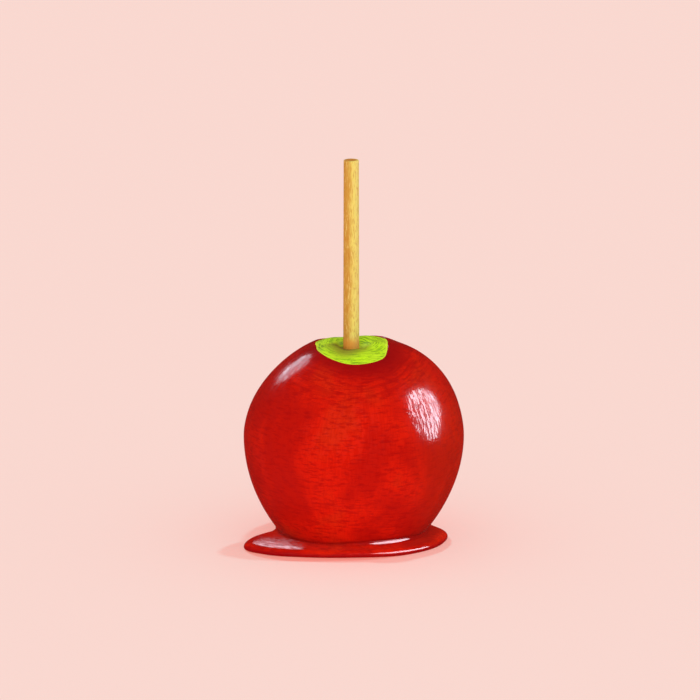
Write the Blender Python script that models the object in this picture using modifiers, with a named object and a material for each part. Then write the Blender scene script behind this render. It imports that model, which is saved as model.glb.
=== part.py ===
"""A toffee apple: a green apple on a wooden stick, dipped in red toffee that has set in a pool at its foot.

Metres, +Z up, +X to the right and -Y to the front. The origin is on the surface that the apple stands on,
under the middle of its belly.
"""

import math

import bmesh
import bpy
import numpy as np

MM = 0.001

# The fruit, as a round profile from the edge of its flat underside, round the belly, to the crown
BELLY_RADIUS = 36.8 * MM
BELLY_HEIGHT = 36.8 * MM
CROWN_RADIUS = 7.7 * MM
CROWN_HEIGHT = 70.6 * MM
UNDERSIDE_RADIUS = 22.7 * MM
UNDERSIDE_HEIGHT = 2.2 * MM
UNDERSIDE_PULL = 1.0 * MM  # how far each handle of the profile's two curves reaches
BELLY_PULL_DOWN = 19.2 * MM
BELLY_PULL_UP = 11.5 * MM
CROWN_PULL = 18.3 * MM
HOLLOW_HEIGHT = 68.5 * MM  # the bottom of the dimple, where the stick goes in

# How the real fruit strays from that round profile
LOBES = 5
LOBE_TURN = math.radians(28)
LOBE_DEPTH = 0.25 * MM
LOBE_HEIGHT = 0.25 * MM
SHOULDER_LEAN = 1.1 * MM  # towards +X
FOOT_LEAN = -0.4 * MM
FRONT_TUCK = 0.15  # share of the radius that the foot is drawn in by, at the front
FRONT_DROP = 0.7 * MM  # how much lower the crown is at the front

# The stick, pushed down the core
STICK_X = -0.85 * MM
STICK_TOP = 136.7 * MM
STICK_END = 24.3 * MM
STICK_END_RADIUS = 2.95 * MM
STICK_TOP_RADIUS = 2.68 * MM
STICK_CHAMFER = 0.35 * MM
GAP = 0.3 * MM  # between the fruit and what touches it
BORE_RADIUS = STICK_END_RADIUS + GAP

# The toffee: its thickness on the fruit, and how far out from the axis its rim and its pool reach
COAT_THICKNESS = 2.4 * MM
RIM_THICKNESS = 0.6 * MM
RIM_THICKENS_OVER = 33 * MM
RIM_ROUNDING = 0.6 * MM
RIM_REACH = (  # (azimuth from +X in degrees, millimetres from the axis)
    (-180, 14.5), (-150, 15.3), (-120, 16.9), (-90, 18.6), (-60, 17.0), (-35, 13.4),
    (-5, 11.3), (25, 12.6), (60, 16.4), (95, 17.8), (130, 17.8), (158, 15.9),
)
POOL_REACH = (
    (-174, 30.7), (-163, 38.8), (-154, 43.2), (-141, 40.9), (-123, 34.9), (-90, 30.0), (-55, 32.3),
    (-20, 34.1), (-4, 33.4), (10, 29.6), (60, 30.4), (110, 29.8), (155, 30.0),
)
POOL_HEIGHT = 2.4 * MM
POOL_EDGE_WIDTH = 2.4 * MM  # how far in from its edge its top is rounded
POOL_EDGE_SHARE = 0.7  # or this share of the way in to the apple, where that is less
POOL_RISE = 1.7 * MM  # how far it creeps up the apple, at the azimuth where that is most
POOL_RISE_AZIMUTH = math.radians(-62)
POOL_RISE_WIDTH = 0.9 * MM  # it falls off to about a third over this distance from the apple
POOL_DOME = 0.15 * MM  # how much higher its top is away from its edge
POOL_DOME_WIDTH = 9 * MM
POOL_UNDERCUT = 0.7 * MM
FILLET = 0.35 * MM

SEGMENTS = 48
CURVE_POINTS = 80
FRUIT_RINGS = 18
COAT_RINGS = 19


def ease(share):
    """0 up to share 0, 1 from share 1 on, and a smooth rise between."""
    share = np.clip(share, 0, 1)
    return share * share * (3 - 2 * share)


def bezier(start, start_pull, end_pull, end, count):
    """Points on a cubic curve whose handles are given as offsets from its two ends."""
    start, end = np.array(start), np.array(end)
    t = np.linspace(0, 1, count)[:, None]
    return (
        (1 - t) ** 3 * start
        + 3 * (1 - t) ** 2 * t * (start + start_pull)
        + 3 * (1 - t) * t**2 * (end + end_pull)
        + t**3 * end
    )


def fruit_side():
    """(radius, height) up the side of the fruit, from the edge of its underside to its crown."""
    underside = (UNDERSIDE_RADIUS, UNDERSIDE_HEIGHT)
    belly = (BELLY_RADIUS, BELLY_HEIGHT)
    crown = (CROWN_RADIUS, CROWN_HEIGHT)
    lower = bezier(underside, (UNDERSIDE_PULL, 0), (0, -BELLY_PULL_DOWN), belly, CURVE_POINTS)
    upper = bezier(belly, (0, BELLY_PULL_UP), (CROWN_PULL, 0), crown, CURVE_POINTS)
    return np.concatenate([lower, upper[1:]])


SIDE = fruit_side()
TRAVELLED = np.concatenate([[0], np.cumsum(np.linalg.norm(np.diff(SIDE, axis=0), axis=1))])
DIRECTION = np.gradient(SIDE, TRAVELLED, axis=0)
OUTWARD = np.stack([DIRECTION[:, 1], -DIRECTION[:, 0]], axis=1)


def beside_skin(travelled, offset):
    """(radius, height) of points that far up the side and offset outside the skin."""
    radius, height, out_radius, out_height = (
        np.interp(travelled, TRAVELLED, column) for column in (*SIDE.T, *OUTWARD.T)
    )
    return radius + offset * out_radius, height + offset * out_height


def settled(radius, height, azimuth):
    """Moves points of the round profile to where the real, slightly uneven apple has them."""
    rise = ease((height - BELLY_HEIGHT) / (CROWN_HEIGHT - BELLY_HEIGHT))
    sink = ease(1 - height / BELLY_HEIGHT)
    clear_of_core = ease((radius - BORE_RADIUS) / (CROWN_RADIUS - BORE_RADIUS))
    on_shoulder = ease(radius / CROWN_RADIUS - 1)
    lobe = np.cos(LOBES * azimuth + LOBE_TURN) * rise * clear_of_core
    front = np.clip(-np.sin(azimuth), 0, 1) ** 2
    radius = radius * (1 - FRONT_TUCK * front * sink) + LOBE_DEPTH * lobe
    lean = SHOULDER_LEAN * rise * on_shoulder + FOOT_LEAN * sink
    x = radius * np.cos(azimuth) + lean + STICK_X * (1 - clear_of_core)
    height = height + LOBE_HEIGHT * lobe - FRONT_DROP * front * rise * clear_of_core
    return np.stack([x, radius * np.sin(azimuth), height], axis=-1)


def reach(outline, azimuth):
    """Metres from the axis at an azimuth, on a smooth closed curve through the outline's points."""
    angles, distances = np.array(outline).T
    angles = np.radians(np.concatenate([angles[-2:] - 360, angles, angles[:2] + 360]))
    distances = np.concatenate([distances[-2:], distances, distances[:2]])
    slopes = np.gradient(distances, angles)
    i = np.clip(np.searchsorted(angles, azimuth, side="right") - 1, 0, len(angles) - 2)
    span = angles[i + 1] - angles[i]
    t = (azimuth - angles[i]) / span
    level = distances[i] * (1 + 2 * t) * (1 - t) ** 2 + distances[i + 1] * t**2 * (3 - 2 * t)
    tilt = span * (slopes[i] * t * (1 - t) ** 2 - slopes[i + 1] * t**2 * (1 - t))
    return (level + tilt) * MM


def coat_offset(from_rim):
    """The toffee's outside, measured from the skin: a rounded rim that thickens down the side."""
    thickness = RIM_THICKNESS + (COAT_THICKNESS - RIM_THICKNESS) * ease(from_rim / RIM_THICKENS_OVER)
    inside = 1 - np.clip(from_rim / RIM_ROUNDING, 0, 1)
    return GAP + (thickness - GAP) * np.sqrt(1 - inside**2)


def pool_rise(azimuth):
    """How much higher the pool stands where it meets the apple, and over what width that falls off."""
    share = max(0, math.cos(azimuth - POOL_RISE_AZIMUTH)) ** 4
    return POOL_RISE * share, POOL_RISE_WIDTH * max(share, 0.3)


def pool_section(azimuth, foot):
    """Points from inside the base out under the pool, round its edge and in to beside the apple's foot."""
    direction = np.array([math.cos(azimuth), math.sin(azimuth), 0])
    edge = reach(POOL_REACH, azimuth)
    inner = foot @ direction + FILLET
    width = min(POOL_EDGE_WIDTH, POOL_EDGE_SHARE * (edge - inner))
    below = np.radians([-90, -45])
    above = np.radians([0, 22.5, 45, 67.5, 90])
    closer = np.linspace(1, 0, 6)[1:] ** 2  # the rings lie closer together near the apple
    out = np.concatenate([edge - width * (1 - np.cos(above)), inner + (edge - width - inner) * closer])
    round_edge = np.sqrt(1 - (1 - np.clip((edge - out) / width, 0, 1)) ** 2)
    dome = POOL_DOME * (1 - (1 - np.clip((edge - out) / POOL_DOME_WIDTH, 0, 1)) ** 2)
    top = POOL_UNDERCUT + (POOL_HEIGHT - POOL_DOME - POOL_UNDERCUT) * round_edge + dome
    rise, rise_width = pool_rise(azimuth)
    top += rise * np.exp((inner - out) / rise_width)
    section = [(UNDERSIDE_RADIUS, 0)]
    section += zip(edge - POOL_UNDERCUT * (1 - np.cos(below)), POOL_UNDERCUT * (1 + np.sin(below)))
    section += zip(out, top)
    return [radius * direction + (0, 0, height) for radius, height in section]


def coat_section(azimuth):
    """An upright cut through the toffee: along its base, round the pool, up, over the rim, down inside."""
    upper = SIDE[:, 1] >= BELLY_HEIGHT
    rim = np.interp(-reach(RIM_REACH, azimuth), -SIDE[upper, 0], TRAVELLED[upper])
    foot_height = POOL_HEIGHT + pool_rise(azimuth)[0]
    foot = np.interp(foot_height, beside_skin(TRAVELLED, COAT_THICKNESS)[1], TRAVELLED)
    share = np.linspace(0, 1, COAT_RINGS)
    closer_near_rim = share**1.2
    side = RIM_ROUNDING + (rim - foot - FILLET - RIM_ROUNDING) * closer_near_rim
    down = np.concatenate([RIM_ROUNDING * np.array([0.1, 0.4]), side, [rim - foot]])
    outside = settled(*beside_skin(rim - down, coat_offset(down)), azimuth)[::-1]
    inside = settled(*beside_skin(rim * (1 - share), GAP), azimuth)
    corner, above = outside[:2]
    pool = pool_section(azimuth, corner)
    fillet = bezier(pool[-1], (corner - pool[-1]) * 2 / 3, (corner - above) * 2 / 3, above, 5)
    return [*pool, *fillet[1:-1], *outside[1:], *inside]


def closed_loft(name, sections, bottom, top):
    """A mesh through upright sections in order round the axis, closed by a point at each end."""
    bm = bmesh.new()
    rings = [[bm.verts.new(point) for point in section] for section in sections]
    for left, right in zip(rings, rings[1:] + rings[:1]):
        for i in range(len(left) - 1):
            bm.faces.new((left[i], right[i], right[i + 1], left[i + 1]))
    for pole, row, step in ((bottom, 0, -1), (top, -1, 1)):
        centre = bm.verts.new(pole)
        ends = [ring[row] for ring in rings][::step]
        for one, two in zip(ends, ends[1:] + ends[:1]):
            bm.faces.new((one, two, centre))
    mesh = bpy.data.meshes.new(name)
    bm.to_mesh(mesh)
    bm.free()
    return mesh


def turned(name, profile):
    """A mesh turned round Z from (radius, height) points that end on the axis, running down the outside."""
    outline = bpy.data.meshes.new(name + "_outline")
    steps = [(i, i + 1) for i in range(len(profile) - 1)]
    outline.from_pydata([(radius, 0, height) for radius, height in profile], steps, [])
    blank = bpy.data.objects.new(name + "_blank", outline)
    bpy.context.scene.collection.objects.link(blank)
    screw = blank.modifiers.new("turn", "SCREW")
    screw.steps = screw.render_steps = SEGMENTS
    screw.use_merge_vertices = True
    screw.merge_threshold = 0.01 * MM
    graph = bpy.context.evaluated_depsgraph_get()
    mesh = bpy.data.meshes.new_from_object(blank.evaluated_get(graph))
    bpy.data.objects.remove(blank)
    bpy.data.meshes.remove(outline)
    mesh.name = name
    return mesh


def material(name, colour, roughness):
    made = bpy.data.materials.new(name)
    made.use_nodes = True
    surface = made.node_tree.nodes["Principled BSDF"]
    surface.inputs["Base Color"].default_value = (*colour, 1)
    surface.inputs["Roughness"].default_value = roughness
    surface.inputs["Metallic"].default_value = 0
    return made


def place(name, mesh, finish, location=(0, 0, 0)):
    """Puts a mesh in the scene as a named part with its material, shaded smooth but for its corners."""
    mesh.shade_smooth()
    mesh.set_sharp_from_angle(angle=math.radians(50))
    mesh.materials.clear()
    mesh.materials.append(finish)
    part = bpy.data.objects.new(name, mesh)
    part.location = location
    PARTS.objects.link(part)


def make_apple():
    """The fruit: turned round its core, bored for the stick, then given its lobes and its lean."""
    travelled = np.linspace(TRAVELLED[-1], 0, FRUIT_RINGS)
    mouth = (BORE_RADIUS, HOLLOW_HEIGHT)
    pull = (CROWN_RADIUS - BORE_RADIUS) / 2
    hollow = bezier(mouth, (pull, 0), (-pull, 0), (CROWN_RADIUS, CROWN_HEIGHT), 6)
    bore_end = STICK_END - GAP
    profile = [(0, bore_end), (BORE_RADIUS, bore_end), *hollow[:-1]]
    profile += [*zip(*beside_skin(travelled, 0)), (0, UNDERSIDE_HEIGHT)]
    mesh = turned("apple", profile)
    for vertex in mesh.vertices:
        x, y, height = vertex.co
        vertex.co = settled(math.hypot(x, y), height, math.atan2(y, x))
    place("apple", mesh, material("green_skin", (0.30, 0.55, 0.03), 0.4))


def make_toffee_coat():
    """The toffee: a shell over the fruit, open at the crown, and the pool that it ran down into."""
    azimuths = np.linspace(-math.pi, math.pi, SEGMENTS, endpoint=False)
    floor = (0, 0, UNDERSIDE_HEIGHT - GAP)
    mesh = closed_loft("toffee_coat", [coat_section(azimuth) for azimuth in azimuths], (0, 0, 0), floor)
    place("toffee_coat", mesh, material("red_toffee", (0.60, 0.01, 0.006), 0.12))


def make_stick():
    """The stick: a dowel with a slight taper and its ends chamfered."""
    bm = bmesh.new()
    length = STICK_TOP - STICK_END
    bmesh.ops.create_cone(
        bm, cap_ends=True, segments=24, radius1=STICK_END_RADIUS, radius2=STICK_TOP_RADIUS, depth=length
    )
    ends = [edge for edge in bm.edges if abs(edge.verts[0].co.z - edge.verts[1].co.z) < MM]
    bmesh.ops.bevel(bm, geom=ends, offset=STICK_CHAMFER, segments=2, profile=0.5, affect="EDGES")
    mesh = bpy.data.meshes.new("stick")
    bm.to_mesh(mesh)
    bm.free()
    finish = material("stick_wood", (0.68, 0.36, 0.08), 0.6)
    place("stick", mesh, finish, (STICK_X, 0, STICK_END + length / 2))


for leftover in list(bpy.data.objects):
    bpy.data.objects.remove(leftover)
PARTS = bpy.data.collections.new("toffee_apple")
bpy.context.scene.collection.children.link(PARTS)
make_apple()
make_toffee_coat()
make_stick()
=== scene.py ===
"""The looks of the toffee apple: glossy red toffee, a green apple's skin and a pale wooden stick.

Metres, +Z up, +X to the right and -Y to the front, in the same frame as the solids. Each solid is replaced by
finer meshes of the same shape, so the sizes here repeat those of the construction. The toffee is one solid
and two meshes: the coat on the fruit, and the pool at its foot.
"""

import math

import bpy
import numpy as np
from mathutils import Matrix, Vector, noise


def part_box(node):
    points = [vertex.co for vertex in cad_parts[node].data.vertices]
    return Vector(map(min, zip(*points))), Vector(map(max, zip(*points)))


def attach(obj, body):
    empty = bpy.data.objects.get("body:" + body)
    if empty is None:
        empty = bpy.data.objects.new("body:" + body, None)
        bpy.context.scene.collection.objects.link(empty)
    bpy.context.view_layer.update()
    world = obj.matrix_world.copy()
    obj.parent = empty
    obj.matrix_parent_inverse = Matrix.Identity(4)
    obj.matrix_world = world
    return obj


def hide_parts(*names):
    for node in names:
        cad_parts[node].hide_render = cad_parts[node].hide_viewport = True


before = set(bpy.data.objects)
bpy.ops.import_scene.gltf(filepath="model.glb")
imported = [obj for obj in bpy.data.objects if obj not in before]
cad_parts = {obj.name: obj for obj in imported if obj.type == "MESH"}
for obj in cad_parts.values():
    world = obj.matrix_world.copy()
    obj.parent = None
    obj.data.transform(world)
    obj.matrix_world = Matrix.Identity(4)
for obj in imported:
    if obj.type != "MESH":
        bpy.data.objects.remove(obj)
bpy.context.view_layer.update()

MM = 0.001

# The fruit, as a round profile from the edge of its flat underside, round the belly, to the crown
BELLY_RADIUS = 36.8 * MM
BELLY_HEIGHT = 36.8 * MM
CROWN_RADIUS = 7.7 * MM
CROWN_HEIGHT = 70.6 * MM
UNDERSIDE_RADIUS = 22.7 * MM
UNDERSIDE_HEIGHT = 2.2 * MM
UNDERSIDE_PULL = 1.0 * MM  # how far each handle of the profile's two curves reaches
BELLY_PULL_DOWN = 19.2 * MM
BELLY_PULL_UP = 11.5 * MM
CROWN_PULL = 18.3 * MM
HOLLOW_HEIGHT = 68.5 * MM  # the bottom of the dimple, where the stick goes in
SHOWN_SKIN = 16 * MM  # how far down the side from the crown the skin's mesh is fine

# How the real fruit strays from that round profile
LOBES = 5
LOBE_TURN = math.radians(28)
LOBE_DEPTH = 0.25 * MM
LOBE_HEIGHT = 0.25 * MM
SHOULDER_LEAN = 1.1 * MM  # towards +X
FOOT_LEAN = -0.4 * MM
FRONT_TUCK = 0.15  # share of the radius that the foot is drawn in by, at the front
FRONT_DROP = 0.7 * MM  # how much lower the crown is at the front

# The toffee: its thickness on the fruit, and how far out from the axis its rim and its pool reach
COAT_THICKNESS = 2.4 * MM
RIM_THICKNESS = 0.6 * MM
RIM_THICKENS_OVER = 33 * MM
RIM_ROUNDING = 0.6 * MM
RIM_REACH = (  # (azimuth from +X in degrees, millimetres from the axis)
    (-180, 14.5), (-150, 15.3), (-120, 16.9), (-90, 18.6), (-60, 17.0), (-35, 13.4),
    (-5, 11.3), (25, 12.6), (60, 16.4), (95, 17.8), (130, 17.8), (158, 15.9),
)
POOL_REACH = (
    (-174, 30.7), (-163, 38.8), (-154, 43.2), (-141, 40.9), (-123, 34.9), (-90, 30.0), (-55, 32.3),
    (-20, 34.1), (-4, 33.4), (10, 29.6), (60, 30.4), (110, 29.8), (155, 30.0),
)
POOL_HEIGHT = 2.4 * MM
POOL_EDGE_WIDTH = 2.4 * MM  # how far in from its edge its top is rounded
POOL_EDGE_SHARE = 0.7  # or this share of the way in to the apple, where that is less
POOL_RISE = 1.7 * MM  # how far it creeps up the apple, at the azimuth where that is most
POOL_RISE_AZIMUTH = math.radians(-62)
POOL_RISE_WIDTH = 0.9 * MM  # it falls off to about a third over this distance from the apple
POOL_RISE_SPREAD = 4  # the higher, the shorter the stretch of its edge that it creeps up on
POOL_RISE_NARROWEST = 0.3  # share of its width that it keeps where it is low
POOL_DOME = 0.15 * MM  # how much higher its top is away from its edge
POOL_DOME_WIDTH = 9 * MM
POOL_UNDERCUT = 0.7 * MM
FILLET = 0.35 * MM
OVERLAP = 0.15 * MM  # how far the pieces reach into each other, so that no gap shows
COAT_FOOT = 1.0 * MM  # where the coat's own mesh ends, inside the pool

# Where the pool set in fine strands, as the whole coat did: how far from the middle of its tongue
TONGUE = (-26.5 * MM, -21.5 * MM, 2.4 * MM)
STRANDS_REACH = 12 * MM
# Where it ran thicker down the sides, which makes it darker: azimuths and width
THICK_RUNS = (math.radians(-157), math.radians(-23))
THICK_RUN_WIDTH = math.radians(8)
THICK_RUNS_FADE = 40 * MM  # they are gone by 1.5 times this height

# Soft waves in the set coat: their depth, and their size round the coat and down it
BROAD_WAVES = (0.11 * MM, 11 * MM, 24 * MM)
FINE_WAVES = (0.014 * MM, 3.2 * MM, 17 * MM)
WAVES_START = 9 * MM  # how far below the rim they have their full depth

# How fast the pattern of fine strands changes in each direction, against that of distance: slower is longer.
# Round the coat it goes faster and slower by a share, and is slowest at 180 degrees less the turn.
STRANDS_DOWN_COAT = 0.22
STRANDS_UNEVEN = 0.5
STRANDS_TURN = math.radians(20)
STRANDS_ALONG_POOL = 0.25
STRANDS_ACROSS_POOL = 0.5
STRANDS_SLANT = 0.6  # how much nearer to the front the pool's strands come for each metre to the right

# The stick, pushed down the core
STICK_END_RADIUS = 2.95 * MM
STICK_TOP_RADIUS = 2.68 * MM
STICK_CHAMFER = 0.35 * MM

CURVE_POINTS = 160
AZIMUTHS = np.linspace(-math.pi, math.pi, 360, endpoint=False)
COAT_RINGS = 120
STICK_AZIMUTHS = np.linspace(-math.pi, math.pi, 96, endpoint=False)


def ease(share):
    """0 up to share 0, 1 from share 1 on, and a smooth rise between."""
    share = np.clip(share, 0, 1)
    return share * share * (3 - 2 * share)


def bezier(start, start_pull, end_pull, end, count):
    """Points on a cubic curve whose handles are given as offsets from its two ends."""
    start, end = np.array(start), np.array(end)
    t = np.linspace(0, 1, count)[:, None]
    return (
        (1 - t) ** 3 * start
        + 3 * (1 - t) ** 2 * t * (start + start_pull)
        + 3 * (1 - t) * t**2 * (end + end_pull)
        + t**3 * end
    )


def fruit_side():
    """(radius, height) up the side of the fruit, from the edge of its underside to its crown."""
    underside = (UNDERSIDE_RADIUS, UNDERSIDE_HEIGHT)
    belly = (BELLY_RADIUS, BELLY_HEIGHT)
    crown = (CROWN_RADIUS, CROWN_HEIGHT)
    lower = bezier(underside, (UNDERSIDE_PULL, 0), (0, -BELLY_PULL_DOWN), belly, CURVE_POINTS)
    upper = bezier(belly, (0, BELLY_PULL_UP), (CROWN_PULL, 0), crown, CURVE_POINTS)
    return np.concatenate([lower, upper[1:]])


SIDE = fruit_side()
TRAVELLED = np.concatenate([[0], np.cumsum(np.linalg.norm(np.diff(SIDE, axis=0), axis=1))])
DIRECTION = np.gradient(SIDE, TRAVELLED, axis=0)
OUTWARD = np.stack([DIRECTION[:, 1], -DIRECTION[:, 0]], axis=1)
STICK_LOW, STICK_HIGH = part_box("stick")
STICK_X = (STICK_LOW.x + STICK_HIGH.x) / 2
BORE_RADIUS = STICK_END_RADIUS + 0.3 * MM


def beside_skin(travelled, offset):
    """(radius, height) of points that far up the side and offset outside the skin."""
    radius, height, out_radius, out_height = (
        np.interp(travelled, TRAVELLED, column) for column in (*SIDE.T, *OUTWARD.T)
    )
    return radius + offset * out_radius, height + offset * out_height


def settled(radius, height, azimuth):
    """Moves points of the round profile to where the real, slightly uneven apple has them."""
    rise = ease((height - BELLY_HEIGHT) / (CROWN_HEIGHT - BELLY_HEIGHT))
    sink = ease(1 - height / BELLY_HEIGHT)
    clear_of_core = ease((radius - BORE_RADIUS) / (CROWN_RADIUS - BORE_RADIUS))
    on_shoulder = ease(radius / CROWN_RADIUS - 1)
    lobe = np.cos(LOBES * azimuth + LOBE_TURN) * rise * clear_of_core
    front = np.clip(-np.sin(azimuth), 0, 1) ** 2
    radius = radius * (1 - FRONT_TUCK * front * sink) + LOBE_DEPTH * lobe
    lean = SHOULDER_LEAN * rise * on_shoulder + FOOT_LEAN * sink
    x = radius * np.cos(azimuth) + lean + STICK_X * (1 - clear_of_core)
    height = height + LOBE_HEIGHT * lobe - FRONT_DROP * front * rise * clear_of_core
    return np.stack([x, radius * np.sin(azimuth), height], axis=-1)


def reach(outline, azimuth):
    """Metres from the axis at an azimuth, on a smooth closed curve through the outline's points."""
    angles, distances = np.array(outline).T
    angles = np.radians(np.concatenate([angles[-2:] - 360, angles, angles[:2] + 360]))
    distances = np.concatenate([distances[-2:], distances, distances[:2]])
    slopes = np.gradient(distances, angles)
    i = np.clip(np.searchsorted(angles, azimuth, side="right") - 1, 0, len(angles) - 2)
    span = angles[i + 1] - angles[i]
    t = (azimuth - angles[i]) / span
    level = distances[i] * (1 + 2 * t) * (1 - t) ** 2 + distances[i + 1] * t**2 * (3 - 2 * t)
    tilt = span * (slopes[i] * t * (1 - t) ** 2 - slopes[i + 1] * t**2 * (1 - t))
    return (level + tilt) * MM


# ---------------------------------------------------------------- meshes


def lofted(name, sections, bottom, top, finish):
    """A closed piece through upright sections in order round an axis, with a point closing each end."""
    around, up = sections.shape[:2]
    grid = np.arange(around * up).reshape(around, up)
    following = np.roll(grid, -1, axis=0)
    sides = np.stack([grid[:, :-1], following[:, :-1], following[:, 1:], grid[:, 1:]], axis=-1)
    floor = np.stack([following[:, 0], grid[:, 0], np.full(around, around * up)], axis=-1)
    roof = np.stack([grid[:, -1], following[:, -1], np.full(around, around * up + 1)], axis=-1)
    faces = [*sides.reshape(-1, 4).tolist(), *floor.tolist(), *roof.tolist()]
    mesh = bpy.data.meshes.new(name)
    mesh.from_pydata([*sections.reshape(-1, 3).tolist(), bottom, top], [], faces)
    mesh.shade_smooth()
    mesh.materials.append(finish)
    piece = bpy.data.objects.new(name, mesh)
    bpy.context.scene.collection.objects.link(piece)
    return piece


def note(piece, name, values):
    """Stores one number for each vertex, or one vector, for the piece's material."""
    values = np.asarray(values, np.float32)
    values = np.concatenate([values, values[-2:]])  # for the two points that close the ends
    kind, field = ("FLOAT", "value") if values.ndim == 1 else ("FLOAT_VECTOR", "vector")
    attribute = piece.data.attributes.new(name, kind, "POINT")
    attribute.data.foreach_set(field, values.ravel())


def belongs(piece, node):
    """Hangs a piece on the root body and hides the solid that it stands for."""
    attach(piece, "root")
    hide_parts(node)


# ---------------------------------------------------------------- materials


def srgb(*levels):
    """A colour given as red, green and blue display levels from 0 to 255."""
    share = np.array(levels) / 255
    linear = np.where(share <= 0.04045, share / 12.92, ((share + 0.055) / 1.055) ** 2.4)
    return (*linear.tolist(), 1)


class Finish:
    """A material under construction: each method adds a node and returns its output."""

    def __init__(self, name, **constants):
        self.material = bpy.data.materials.new(name)
        self.material.use_nodes = True
        self.tree = self.material.node_tree
        self.surface = self.tree.nodes["Principled BSDF"]
        for socket, value in constants.items():
            self.surface.inputs[socket.replace("_", " ")].default_value = value

    def node(self, kind, inputs, output=0, **settings):
        made = self.tree.nodes.new("ShaderNode" + kind)
        for name, value in settings.items():
            setattr(made, name, value)
        for name, value in inputs.items():
            if isinstance(value, bpy.types.NodeSocket):
                self.tree.links.new(value, made.inputs[name])
            else:
                made.inputs[name].default_value = value
        return made.outputs[output]

    def attribute(self, name, output="Fac"):
        return self.node("Attribute", {}, output, attribute_name=name)

    def math(self, operation, one, two=0.0, three=0.0):
        return self.node("Math", {0: one, 1: two, 2: three}, operation=operation)

    def share(self, value, low, high, from_level=0.0, to_level=1.0):
        """How far a value is from low to high, as a smooth rise from one level to another."""
        inputs = {"Value": value, "From Min": low, "From Max": high, "To Min": from_level, "To Max": to_level}
        return self.node("MapRange", inputs, interpolation_type="SMOOTHSTEP")

    def stretched(self, vector, scale):
        return self.node("Mapping", {"Vector": vector, "Scale": scale}, vector_type="POINT")

    def noise(self, vector, scale, detail, roughness):
        inputs = {"Vector": vector, "Scale": scale, "Detail": detail, "Roughness": roughness}
        return self.node("TexNoise", inputs, "Fac")

    def mix(self, factor, one, two):
        inputs = {0: factor, 6: one, 7: two}
        return self.node("Mix", inputs, 2, data_type="RGBA")

    def position(self):
        return self.node("TexCoord", {}, "Object")

    def around(self, position, down, squeeze):
        """Coordinates that vary quickly down a round surface and slowly round it."""
        flat = self.stretched(position, (squeeze, squeeze, 0))
        along = self.node("CombineXYZ", {"Z": down})
        return self.node("VectorMath", {0: flat, 1: along}, operation="ADD")

    def distance(self, position, place, axes):
        """How far points are from a place, with the distance along each axis counted by a share of it."""
        inputs = {0: self.stretched(position, axes), 1: Vector(place) * Vector(axes)}
        return self.node("VectorMath", inputs, "Value", operation="DISTANCE")

    def axes(self, vector):
        made = self.tree.nodes.new("ShaderNodeSeparateXYZ")
        self.tree.links.new(vector, made.inputs[0])
        return made.outputs

    def bump(self, height, distance, under=None):
        """Relief from a height that goes from 0 to 1 over a distance, on top of another relief."""
        inputs = {"Height": height, "Distance": distance, "Strength": 1.0}
        if under:
            inputs["Normal"] = under
        return self.node("Bump", inputs)

    def connect(self, **outputs):
        """Links outputs to the surface's sockets, and returns the finished material."""
        for socket, output in outputs.items():
            self.tree.links.new(output, self.surface.inputs[socket.replace("_", " ")])
        return self.material


def toffee_colour(finish, position, streaks, brushed):
    """Mottled red, streaked, deeper where thick; painted shade by the rim and foot, low on the edge and on
    the left.
    """
    x, _, height = finish.axes(position)
    from_rim = finish.attribute("from_rim")
    from_foot = finish.attribute("from_foot")
    patches = finish.noise(finish.stretched(position, (1, 1, 0.8)), 1 / (17 * MM), 2, 0.5)
    rings = finish.noise(finish.around(position, from_rim, 0.12), 1 / (1.2 * MM), 3, 0.6)
    red = srgb(224, 29, 8)
    crimson = srgb(164, 9, 10)
    thick_crimson = srgb(150, 8, 10)
    rim_shade_crimson = srgb(150, 7, 13)
    foot_shade_crimson = srgb(130, 4, 12)
    low_edge_shade_crimson = srgb(138, 4, 18)
    orange = srgb(212, 48, 14)
    low_orange = srgb(200, 50, 14)

    colour = finish.mix(finish.share(patches, 0.42, 0.64, 0, 0.5), red, crimson)
    colour = finish.mix(finish.share(patches, 0.46, 0.3, 0, 0.5), colour, orange)
    colour = finish.mix(finish.share(brushed, 0.45, 0.68, 0, 0.6), colour, crimson)
    # Painted shade: the toffee turns darker crimson towards its left side.
    colour = finish.mix(finish.share(x, -4 * MM, -30 * MM, 0, 0.12), colour, crimson)

    ragged_run = finish.share(brushed, 0.3, 0.6, 0.4, 1)
    ragged_run = finish.math("MULTIPLY", finish.attribute("thick"), ragged_run)
    colour = finish.mix(finish.math("MULTIPLY", ragged_run, 0.55), colour, thick_crimson)
    low_right = finish.share(height, 66 * MM, 44 * MM)
    low_right = finish.math("MULTIPLY", low_right, finish.share(x, 16 * MM, 34 * MM, 0, 0.3))
    colour = finish.mix(low_right, colour, low_orange)
    colour = finish.mix(finish.share(streaks, 0.47, 0.55, 0, 0.2), colour, crimson)

    # Painted shade below the rim: darker crimson, broken by the dipping rings, grows towards it.
    rim_shade_rings = finish.share(from_rim, 24 * MM, 8 * MM, 0, 0.55)
    rim_shade_rings = finish.math("MULTIPLY", finish.share(rings, 0.42, 0.6), rim_shade_rings)
    colour = finish.mix(rim_shade_rings, colour, crimson)
    ragged_rim_shade = finish.math("MULTIPLY_ADD", rings, 7 * MM, from_rim)
    colour = finish.mix(finish.share(ragged_rim_shade, 13 * MM, 4 * MM, 0, 0.75), colour, rim_shade_crimson)
    # Painted shade: darker crimson in the crease where the coat meets the pool.
    colour = finish.mix(finish.share(from_foot, 1.6 * MM, 0.2 * MM, 0, 0.5), colour, foot_shade_crimson)
    # Painted shade: darker crimson low on the pool's rounded edge.
    return finish.mix(finish.share(height, 2.0 * MM, 0.6 * MM, 0, 0.75), colour, low_edge_shade_crimson)


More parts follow.
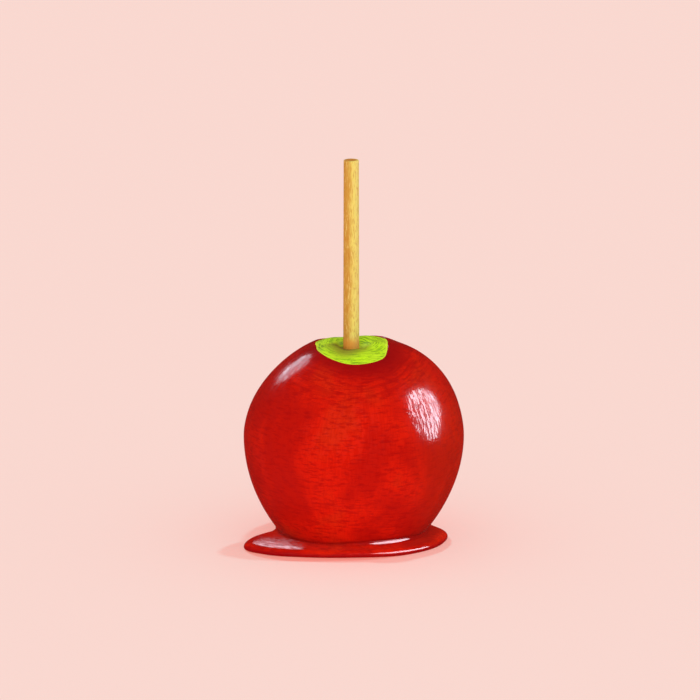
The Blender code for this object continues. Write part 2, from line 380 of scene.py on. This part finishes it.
def toffee_finish():
    """Hard red toffee: clear gloss, which fine strands along the way it ran break up, and its rim dulls."""
    finish = Finish(
        "red_toffee",
        IOR=1.5,
        Subsurface_Weight=0.12,
        Subsurface_Radius=(1.0, 0.15, 0.1),
        Subsurface_Scale=1.2 * MM,
    )
    position = finish.position()
    strands = finish.attribute("strands")
    streaks = finish.noise(finish.attribute("flow", "Vector"), 1 / (0.8 * MM), 2, 0.5)
    brushed = finish.noise(finish.stretched(position, (1, 1, 4)), 1 / (3.5 * MM), 5, 0.65)
    clear = (1, 1, 1, 1)
    clouded = (0.05, 0.005, 0.005, 1)

    rim = finish.share(finish.attribute("from_rim"), 2.2 * MM, 0.8 * MM, 0, 0.9)
    dull = finish.math("MULTIPLY", finish.share(streaks, 0.45, 0.5), strands)
    dull = finish.math("MAXIMUM", dull, rim)
    deep = finish.math("MULTIPLY", streaks, strands)
    return finish.connect(
        Base_Color=toffee_colour(finish, position, streaks, brushed),
        Roughness=finish.math("MULTIPLY_ADD", dull, 0.12, 0.08),
        Specular_Tint=finish.mix(dull, clear, clouded),
        Normal=finish.bump(brushed, 0.02 * MM, under=finish.bump(deep, 0.02 * MM)),
    )


def skin_finish():
    """Green apple skin, finely lined round the core; russet and painted shade by the stick, a painted
    highlight by the rim.
    """
    finish = Finish("green_skin", Specular_IOR_Level=0.1)
    position = finish.position()
    around_core = finish.around(position, finish.attribute("travelled"), 0.12)
    lines = finish.noise(around_core, 1 / (0.6 * MM), 4, 0.75)
    mottle = finish.noise(position, 1 / (3.5 * MM), 3, 0.6)
    pores = finish.node("TexVoronoi", {"Vector": position, "Scale": 1 / (1.5 * MM)}, "Distance")
    hollow = finish.distance(position, (STICK_X - 1.2 * MM, -4.6 * MM, 0), (0.95, 0.75, 0))
    beside_stick = finish.distance(position, (STICK_X - 1.0 * MM, -3.6 * MM, 0), (1, 1, 0))
    bright = srgb(186, 228, 20)
    leaf = srgb(116, 160, 10)
    yellow = srgb(206, 234, 40)
    rim_highlight_yellow = srgb(212, 244, 48)
    pore_yellow = srgb(214, 238, 80)
    olive_russet_and_shade = srgb(130, 124, 26)
    brown_russet_and_shade = srgb(96, 74, 16)

    colour = finish.mix(finish.share(lines, 0.49, 0.57, 0, 0.9), bright, leaf)
    colour = finish.mix(finish.share(mottle, 0.46, 0.7, 0, 0.4), colour, yellow)
    # Russet with painted shade in the hollow, reaching further out to the left and front of the stick.
    ragged_russet_and_shade = finish.math("MULTIPLY_ADD", lines, 5 * MM, hollow)
    colour = finish.mix(finish.share(ragged_russet_and_shade, 11.5 * MM, 6 * MM, 0, 0.85), colour, olive_russet_and_shade)
    # Russet with a painted contact shadow round the stick's foot.
    ragged_foot = finish.math("MULTIPLY_ADD", lines, 2.4 * MM, beside_stick)
    colour = finish.mix(finish.share(ragged_foot, 6.4 * MM, 4.0 * MM, 0, 0.8), colour, brown_russet_and_shade)
    # Painted highlight: a bright yellow line along the toffee's rim.
    to_rim = finish.attribute("to_rim")
    colour = finish.mix(finish.share(to_rim, 0.9 * MM, 0.2 * MM, 0, 0.8), colour, rim_highlight_yellow)
    colour = finish.mix(finish.share(pores, 0.12, 0.06, 0, 0.6), colour, pore_yellow)
    return finish.connect(
        Base_Color=colour,
        Roughness=finish.share(mottle, 0.3, 0.7, 0.5, 0.65),
        Normal=finish.bump(lines, 0.04 * MM, under=finish.bump(mottle, 0.12 * MM)),
    )


def wood_side(finish, position, grain, flecks):
    """The dowel's sides: painted shade makes one side gold beside the pale, lit side, with flecks and more
    orange at its foot.
    """
    x, _, height = finish.axes(position)
    drift = finish.noise(finish.stretched(position, (0.5, 0.5, 1)), 1 / (9 * MM), 2, 0.5)
    pale = srgb(247, 230, 114)
    shade_side_golden = srgb(214, 158, 64)
    pale_fleck = srgb(252, 226, 134)
    dark_fleck = srgb(200, 128, 44)
    dark_grain = srgb(184, 118, 40)
    lit_foot_orange = srgb(244, 160, 60)

    # Painted shade: the side away from the light is gold and the lit side pale, split along x.
    across = finish.math("MULTIPLY_ADD", drift, 4.2 * MM, x)
    across = finish.math("MULTIPLY_ADD", grain, 2.2 * MM, across)
    edge = STICK_X + 3.2 * MM
    colour = finish.mix(finish.share(across, edge - 1.3 * MM, edge + 1.1 * MM), shade_side_golden, pale)
    colour = finish.mix(finish.share(flecks, 0.5, 0.68, 0, 0.6), colour, dark_fleck)
    colour = finish.mix(finish.share(flecks, 0.46, 0.34, 0, 0.6), colour, pale_fleck)
    colour = finish.mix(finish.share(grain, 0.56, 0.74, 0, 0.6), colour, dark_grain)
    # Painted light: a brighter orange band near the stick's foot.
    ragged_foot = finish.math("MULTIPLY_ADD", grain, 2 * MM, height)
    return finish.mix(finish.share(ragged_foot, 75 * MM, 71.5 * MM, 0, 0.8), colour, lit_foot_orange)


def wood_finish():
    """Pale birch: straight grain, painted shade down one side, and darker year rings where it is cut."""
    finish = Finish("stick_wood", Specular_IOR_Level=0.15)
    position = finish.position()
    grain = finish.noise(finish.stretched(position, (1, 1, 0.035)), 1 / (0.55 * MM), 5, 0.65)
    flecks = finish.noise(finish.stretched(position, (1, 1, 0.16)), 1 / (0.4 * MM), 3, 0.6)
    from_core = finish.distance(position, (STICK_X, 0, 0), (1, 1, 0))
    year_rings = finish.math("SINE", finish.math("MULTIPLY", from_core, math.tau / (0.5 * MM)))
    early_wood = srgb(228, 154, 50)
    late_wood = srgb(198, 122, 34)

    cut = finish.mix(finish.share(year_rings, -1, 1, 0.2, 0.8), early_wood, late_wood)
    at_top = finish.share(finish.axes(position)["Z"], STICK_HIGH.z - 0.25 * MM, STICK_HIGH.z - 0.1 * MM)
    inside_edge = finish.share(from_core, STICK_TOP_RADIUS - 0.2 * MM, STICK_TOP_RADIUS - 1.2 * MM)
    on_cut = finish.math("MULTIPLY", at_top, inside_edge)
    return finish.connect(
        Base_Color=finish.mix(on_cut, wood_side(finish, position, grain, flecks), cut),
        Roughness=finish.share(grain, 0.3, 0.7, 0.5, 0.75),
        Normal=finish.bump(grain, 0.12 * MM, under=finish.bump(flecks, 0.05 * MM)),
    )


# ---------------------------------------------------------------- the pieces


def coat_offset(from_rim):
    """The toffee's outside, measured from the skin: a rounded rim that thickens down the side."""
    thickness = RIM_THICKNESS + (COAT_THICKNESS - RIM_THICKNESS) * ease(from_rim / RIM_THICKENS_OVER)
    inside = 1 - np.clip(from_rim / RIM_ROUNDING, 0, 1)
    return thickness * np.sqrt(1 - inside**2)


def pool_rise(azimuth):
    """How much higher the pool stands where it meets the apple, and over what width that falls off."""
    share = max(0, math.cos(azimuth - POOL_RISE_AZIMUTH)) ** POOL_RISE_SPREAD
    return POOL_RISE * share, POOL_RISE_WIDTH * max(share, POOL_RISE_NARROWEST)


def rim_of(azimuth):
    """How far up the side of the fruit the toffee's rim lies."""
    upper = SIDE[:, 1] >= BELLY_HEIGHT
    return np.interp(-reach(RIM_REACH, azimuth), -SIDE[upper, 0], TRAVELLED[upper])


def foot_of(height):
    """How far up the side of the fruit the toffee's outside is at a height near its foot."""
    return np.interp(height, beside_skin(TRAVELLED, COAT_THICKNESS)[1], TRAVELLED)


def ripples(azimuth, down):
    """How the set toffee stands proud and hollow in soft waves, drawn out the way it ran."""
    across = Vector((math.cos(azimuth), math.sin(azimuth), 0)) * BELLY_RADIUS
    waves = np.zeros(len(down))
    for elsewhere, (depth, width, length) in ((0, BROAD_WAVES), (7, FINE_WAVES)):
        places = [across / width + Vector((0, elsewhere, distance / length)) for distance in down]
        waves += [depth * noise.noise(place) for place in places]
    return waves * ease(down / WAVES_START)


def coat_section(azimuth):
    """An upright cut through the coat, up its outside and down inside: (x, y, z, distance from its rim)."""
    rim = rim_of(azimuth)
    foot = foot_of(COAT_FOOT)
    bend = np.radians(np.linspace(6, 84, 9))
    round_rim = RIM_ROUNDING * (1 - np.cos(bend))
    side = np.linspace(0, 1, COAT_RINGS) ** 1.1  # the rings lie closer together near the rim
    side = RIM_ROUNDING + (rim - foot - RIM_ROUNDING) * side
    down = np.concatenate([round_rim, side])[::-1]
    offset = coat_offset(down) + ripples(azimuth, down)
    inside = rim * (1 - np.linspace(0, 1, 24))
    outer = settled(*beside_skin(rim - down, offset), azimuth)
    inner = settled(*beside_skin(inside, -OVERLAP), azimuth)
    points = np.concatenate([outer, inner])
    return np.column_stack([points, np.concatenate([down, rim - inside])])


def pool_section(azimuth):
    """An upright cut through the pool: out along its base, round its edge and in to the apple's foot."""
    rise, rise_width = pool_rise(azimuth)
    foot = foot_of(POOL_HEIGHT + rise)
    travelled = foot + FILLET * np.array([-0.9, -0.5, 0, 1])
    buried, hidden, corner, above = settled(*beside_skin(travelled, COAT_THICKNESS), azimuth)
    direction = np.array([math.cos(azimuth), math.sin(azimuth), 0])
    edge = reach(POOL_REACH, azimuth)
    inner = corner @ direction + FILLET
    width = min(POOL_EDGE_WIDTH, POOL_EDGE_SHARE * (edge - inner))
    below = np.radians(np.linspace(-90, -15, 6))
    above_edge = np.radians(np.linspace(0, 90, 24))
    closer = np.linspace(1, 0, 31)[1:] ** 2  # the rings lie closer together near the apple
    out = np.concatenate([edge - width * (1 - np.cos(above_edge)), inner + (edge - width - inner) * closer])
    round_edge = np.sqrt(1 - (1 - np.clip((edge - out) / width, 0, 1)) ** 2)
    dome = POOL_DOME * (1 - (1 - np.clip((edge - out) / POOL_DOME_WIDTH, 0, 1)) ** 2)
    top = POOL_UNDERCUT + (POOL_HEIGHT - POOL_DOME - POOL_UNDERCUT) * round_edge + dome
    top += rise * np.exp((inner - out) / rise_width)
    section = [(radius, 0) for radius in np.linspace(UNDERSIDE_RADIUS, edge - 2 * POOL_UNDERCUT, 4)]
    section += zip(edge - POOL_UNDERCUT * (1 - np.cos(below)), POOL_UNDERCUT * (1 + np.sin(below)))
    section += zip(out, top)
    section = [radius * direction + (0, 0, height) for radius, height in section]
    fillet = bezier(section[-1], (corner - section[-1]) * 2 / 3, (corner - above) * 2 / 3, above, 14)
    into_coat = [point - OVERLAP * direction for point in (above, hidden, buried)]
    return np.array([*section, *fillet[1:], *into_coat])


def thick_runs(azimuth, height):
    """How far points lie where the toffee ran down thicker, from 0 to 1."""
    shares = [np.exp(-(((azimuth - run) / THICK_RUN_WIDTH) ** 2)) for run in THICK_RUNS]
    return np.max(shares, axis=0) * ease(1.5 - height / THICK_RUNS_FADE)


def make_toffee_coat(finish):
    """The coat, with how far each point is from its rim and its foot, and the way it ran."""
    sections = np.array([coat_section(azimuth) for azimuth in AZIMUTHS])
    floor = (0, 0, UNDERSIDE_HEIGHT - OVERLAP)
    piece = lofted("toffee_coat_visual", sections[..., :3], (0, 0, COAT_FOOT), floor, finish)
    from_rim = sections[..., 3].ravel()
    around = np.repeat(AZIMUTHS, sections.shape[1])
    uneven = around + STRANDS_UNEVEN * np.sin(around + STRANDS_TURN)
    ran = [BELLY_RADIUS * np.cos(uneven), BELLY_RADIUS * np.sin(uneven), STRANDS_DOWN_COAT * from_rim]
    from_foot = sections[..., 2].ravel() - POOL_HEIGHT
    from_foot -= np.repeat([pool_rise(azimuth)[0] for azimuth in AZIMUTHS], sections.shape[1])
    note(piece, "from_rim", from_rim)
    note(piece, "from_foot", np.abs(from_foot))
    note(piece, "flow", np.transpose(ran))
    note(piece, "strands", np.ones(from_rim.size))
    note(piece, "thick", thick_runs(around, sections[..., 2].ravel()))
    belongs(piece, "toffee_coat")
    return piece


def make_toffee_pool(finish):
    """The pool. All of it counts as far from the rim, and its tongue set in strands as the coat did."""
    sections = np.array([pool_section(azimuth) for azimuth in AZIMUTHS])
    piece = lofted("toffee_pool_visual", sections, (0, 0, 0), (0, 0, COAT_FOOT), finish)
    x, y, _ = np.moveaxis(sections, -1, 0)
    radius = np.hypot(x, y)
    against_coat = radius[:, -4:-3]  # the last three points of a section are hidden in the coat
    from_foot = (radius - against_coat).ravel()
    ran = [
        STRANDS_ALONG_POOL * x.ravel(),
        STRANDS_ACROSS_POOL * (y + STRANDS_SLANT * x).ravel(),
        np.zeros(x.size),
    ]
    note(piece, "from_rim", np.full(x.size, CROWN_HEIGHT))
    note(piece, "from_foot", np.abs(from_foot))
    note(piece, "flow", np.transpose(ran))
    on_tongue = ease(2 - 2 * np.linalg.norm(sections - TONGUE, axis=-1) / STRANDS_REACH).ravel()
    note(piece, "strands", on_tongue)
    note(piece, "thick", on_tongue)
    belongs(piece, "toffee_coat")
    return piece


def make_apple():
    """The fruit, with fine rings where its skin shows and coarse ones under the toffee."""
    shown = np.linspace(TRAVELLED[-1], TRAVELLED[-1] - SHOWN_SKIN, 50)
    hidden = np.linspace(shown[-1], 0, 40)[1:]
    travelled = np.concatenate([shown, hidden])
    mouth = (STICK_END_RADIUS - OVERLAP, HOLLOW_HEIGHT)
    pull = (CROWN_RADIUS - mouth[0]) / 2
    hollow = bezier(mouth, (pull, 0), (-pull, 0), (CROWN_RADIUS, CROWN_HEIGHT), 30)
    side = np.stack(beside_skin(travelled, 0), axis=1)
    bore = [(mouth[0], height) for height in np.linspace(STICK_LOW.z, HOLLOW_HEIGHT, 12)]
    profile = np.concatenate([bore[:-1], hollow, side[1:]])
    sections = settled(*profile.T, AZIMUTHS[:, None])[:, ::-1]
    bottom = (0, 0, UNDERSIDE_HEIGHT)
    piece = lofted("apple_visual", sections, bottom, (STICK_X, 0, STICK_LOW.z), skin_finish())
    steps = np.linalg.norm(np.diff(profile, axis=0), axis=1)
    down = np.concatenate([[0], np.cumsum(steps)])
    crown_down = down[len(bore) + len(hollow) - 2]
    rims = np.array([rim_of(azimuth) for azimuth in AZIMUTHS])
    to_rim = TRAVELLED[-1] - rims[:, None] - (down - crown_down)
    note(piece, "travelled", np.tile(down[::-1], len(AZIMUTHS)))
    note(piece, "to_rim", np.abs(to_rim[:, ::-1]).ravel())
    belongs(piece, "apple")
    return piece


def make_stick():
    """The dowel, a little thinner towards its top, where its edge is rounded off."""
    heights = np.linspace(STICK_LOW.z, STICK_HIGH.z - STICK_CHAMFER, 160)
    radii = np.interp(heights, (STICK_LOW.z, STICK_HIGH.z), (STICK_END_RADIUS, STICK_TOP_RADIUS))
    bend = np.radians(np.linspace(0, 90, 7))[1:]
    edge_radii = radii[-1] - STICK_CHAMFER * (1 - np.cos(bend))
    edge_heights = STICK_HIGH.z - STICK_CHAMFER * (1 - np.sin(bend))
    inwards = np.linspace(edge_radii[-1], 0, 10)[1:-1]
    radii = np.concatenate([radii, edge_radii, inwards])
    heights = np.concatenate([heights, edge_heights, np.full(len(inwards), STICK_HIGH.z)])
    x = STICK_X + radii * np.cos(STICK_AZIMUTHS[:, None])
    y = radii * np.sin(STICK_AZIMUTHS[:, None])
    sections = np.stack([x, y, np.broadcast_to(heights, x.shape)], axis=-1)
    bottom = (STICK_X, 0, STICK_LOW.z)
    top = (STICK_X, 0, STICK_HIGH.z)
    piece = lofted("stick_visual", sections, bottom, top, wood_finish())
    belongs(piece, "stick")
    return piece


# ---------------------------------------------------------------- the studio

CAMERA_ELEVATION = math.radians(14)
CAMERA_DISTANCE = 1.724
CAMERA_LENS = 250  # in millimetres, as is its sensor
CAMERA_SENSOR = 36
BACK = Vector((0, -math.cos(CAMERA_ELEVATION), math.sin(CAMERA_ELEVATION)))
UP = Vector((0, math.sin(CAMERA_ELEVATION), math.cos(CAMERA_ELEVATION)))
AIM = Vector((-0.0013, 0, 0.060)) + UP * 0.00773  # the object is a little below the picture's middle
MIDDLE = Vector((0, 0, 0.04))  # what the lights face, unless they say otherwise

WHITE = (1, 1, 1)
COOL_WHITE = (0.85, 1, 1)
CYAN = (0.2, 0.95, 1)
CORAL = (1, 0.20, 0.117)  # near white together with the cyan
LILAC = (0.72, 0.87, 1.0)
PALE_LILAC = (0.93, 0.88, 1.0)
SKY = (1, 0.96, 0.95, 1)
SKY_STRENGTH = 0.44
MIRRORED_SKY = (0.30, 0.02, 0.015, 1)
FLOOR_REACH = 4.0


def make_camera():
    """A long lens from the front, a little above."""
    data = bpy.data.cameras.new("camera")
    data.lens = CAMERA_LENS
    data.sensor_width = CAMERA_SENSOR
    camera = bpy.data.objects.new("camera", data)
    camera.location = AIM + BACK * CAMERA_DISTANCE
    camera.rotation_euler = BACK.to_track_quat("Z", "Y").to_euler()
    bpy.context.scene.collection.objects.link(camera)
    bpy.context.scene.camera = camera


def make_lamp(name, data, place, facing, along, on, shadow_of):
    """Puts a light at a place. It lights only one collection's pieces, and only those of another shade it."""
    lamp = bpy.data.objects.new(name, data)
    back = (place - facing).normalized()
    across = back.cross(Vector(along)).normalized()
    lamp.location = place
    lamp.rotation_euler = Matrix((across.cross(back), across, back)).transposed().to_euler()
    lamp.visible_camera = False
    lamp.visible_glossy = data.type != "SUN"
    lamp.visible_diffuse = data.type == "SUN"
    lamp.light_linking.receiver_collection = on
    lamp.light_linking.blocker_collection = shadow_of
    bpy.context.scene.collection.objects.link(lamp)


def make_sun(name, on, towards, energy, colour=WHITE, degrees_wide=0, shadow_of=None):
    """Even light from one direction, which shows in no gloss."""
    data = bpy.data.lights.new(name, "SUN")
    data.energy = energy
    data.color = colour
    data.angle = math.radians(degrees_wide)
    make_lamp(name, data, MIDDLE + Vector(towards), MIDDLE, (1, 0, 0), on, shadow_of)


def make_panel(name, on, place, size, energy, colour, along, facing=MIDDLE, shadow_of=None):
    """An oval panel, size given along and across, which shows only in gloss."""
    data = bpy.data.lights.new(name, "AREA")
    data.energy = energy
    data.color = colour
    data.shape = "ELLIPSE"
    data.size, data.size_y = size
    make_lamp(name, data, Vector(place), Vector(facing), along, on, shadow_of)


def only(name, *pieces):
    """A collection that limits what a light falls on, or what shades it."""
    chosen = bpy.data.collections.new("only_" + name)
    for piece in pieces:
        chosen.objects.link(piece)
    return chosen


def light_food(food, crown, low):
    """Even light on the food, with more on the crown and, with nothing above to shade it, on the pool."""
    make_sun("key", food, (0.30, 0.12, 0.95), 0.5, COOL_WHITE, degrees_wide=7)
    make_sun("front", food, (-0.15, -0.95, 0.28), 1.85, degrees_wide=90)
    make_sun("crown_fill", crown, (0.1, -0.3, 0.95), 0.7, degrees_wide=30)
    make_sun("pool_fill", low, (0.5, 0, 0.9), 0.75, shadow_of=low)


def light_floor(ground, low):
    """Light on the floor. Nothing shades the coral, and only the pool shades the cyan: its shadow is pink."""
    make_sun("floor_fill", ground, (0, 0, 1), 1.73, CORAL, shadow_of=ground)
    make_sun("floor_side", ground, (1.15, 0.60, 0.25), 2.6, CYAN, degrees_wide=3, shadow_of=low)
    make_sun("floor_back", ground, (-0.35, 1.0, 0.33), 2.2, CYAN, degrees_wide=3, shadow_of=low)


def place_highlights(above, low):
    """Panels that show as the highlights: two on the coat, and two along the pool."""
    make_panel(
        "window_right", above, place=(0.546, 0.010, 0.262), size=(0.46, 0.38), energy=7.0, colour=LILAC,
        along=(0, 0.15, 1),
    )
    make_panel(
        "window_left", above, place=(-0.431, 0.540, 0.485), size=(0.50, 0.32), energy=1.75, colour=LILAC,
        along=(-0.113, -0.431, 0.557),
    )
    make_panel(
        "low_right", low, place=(0.61, -0.24, 0.82), size=(1.30, 0.60), energy=30, colour=PALE_LILAC,
        along=(0.67, 0.68, -0.29), shadow_of=low,
    )
    make_panel(
        "low_left", low, place=(-0.0280, 0.0332, 0.0208), size=(0.019, 0.0048), energy=0.0006,
        colour=PALE_LILAC, along=(0.975, 0, 0.22), facing=TONGUE, shadow_of=low,
    )


def make_lights(coat, pool, apple, stick, floor):
    """All the lights, each only for the pieces that it is meant for. The coat, the pool and the apple show in
    no gloss.
    """
    food = only("food", coat, pool, apple, stick)
    low = only("low", pool)
    ground = only("ground", floor)
    crown = only("crown", apple)
    above = only("above", coat, apple, stick)
    for piece in (coat, pool, apple):
        piece.visible_glossy = False
    light_food(food, crown, low)
    light_floor(ground, low)
    place_highlights(above, low)


def make_world():
    """A pale pink surrounding, which the gloss mirrors as a dark red one."""
    world = bpy.data.worlds.new("studio")
    world.use_nodes = True
    tree = world.node_tree
    seen = tree.nodes["Background"]
    seen.inputs["Color"].default_value = SKY
    seen.inputs["Strength"].default_value = SKY_STRENGTH
    mirrored = tree.nodes.new("ShaderNodeBackground")
    mirrored.inputs["Color"].default_value = MIRRORED_SKY
    either = tree.nodes.new("ShaderNodeMixShader")
    path = tree.nodes.new("ShaderNodeLightPath")
    tree.links.new(path.outputs["Is Glossy Ray"], either.inputs[0])
    tree.links.new(seen.outputs[0], either.inputs[1])
    tree.links.new(mirrored.outputs[0], either.inputs[2])
    tree.links.new(either.outputs[0], tree.nodes["World Output"].inputs["Surface"])
    bpy.context.scene.world = world


def make_floor():
    """A wide plain floor that shows in no gloss."""
    corners = [(x * FLOOR_REACH, y * FLOOR_REACH, 0) for x, y in ((-1, -1), (1, -1), (1, 1), (-1, 1))]
    mesh = bpy.data.meshes.new("floor")
    mesh.from_pydata(corners, [], [(0, 1, 2, 3)])
    finish = Finish("floor", Base_Color=srgb(243, 229, 224), Roughness=1.0, Specular_IOR_Level=0.0)
    mesh.materials.append(finish.material)
    floor = bpy.data.objects.new("floor", mesh)
    floor.visible_glossy = False
    bpy.context.scene.collection.objects.link(floor)
    return floor


make_camera()
toffee = toffee_finish()
coat = make_toffee_coat(toffee)
pool = make_toffee_pool(toffee)
apple = make_apple()
stick = make_stick()
floor = make_floor()
make_lights(coat, pool, apple, stick, floor)
make_world()
bpy.context.scene.view_settings.view_transform = "Standard"
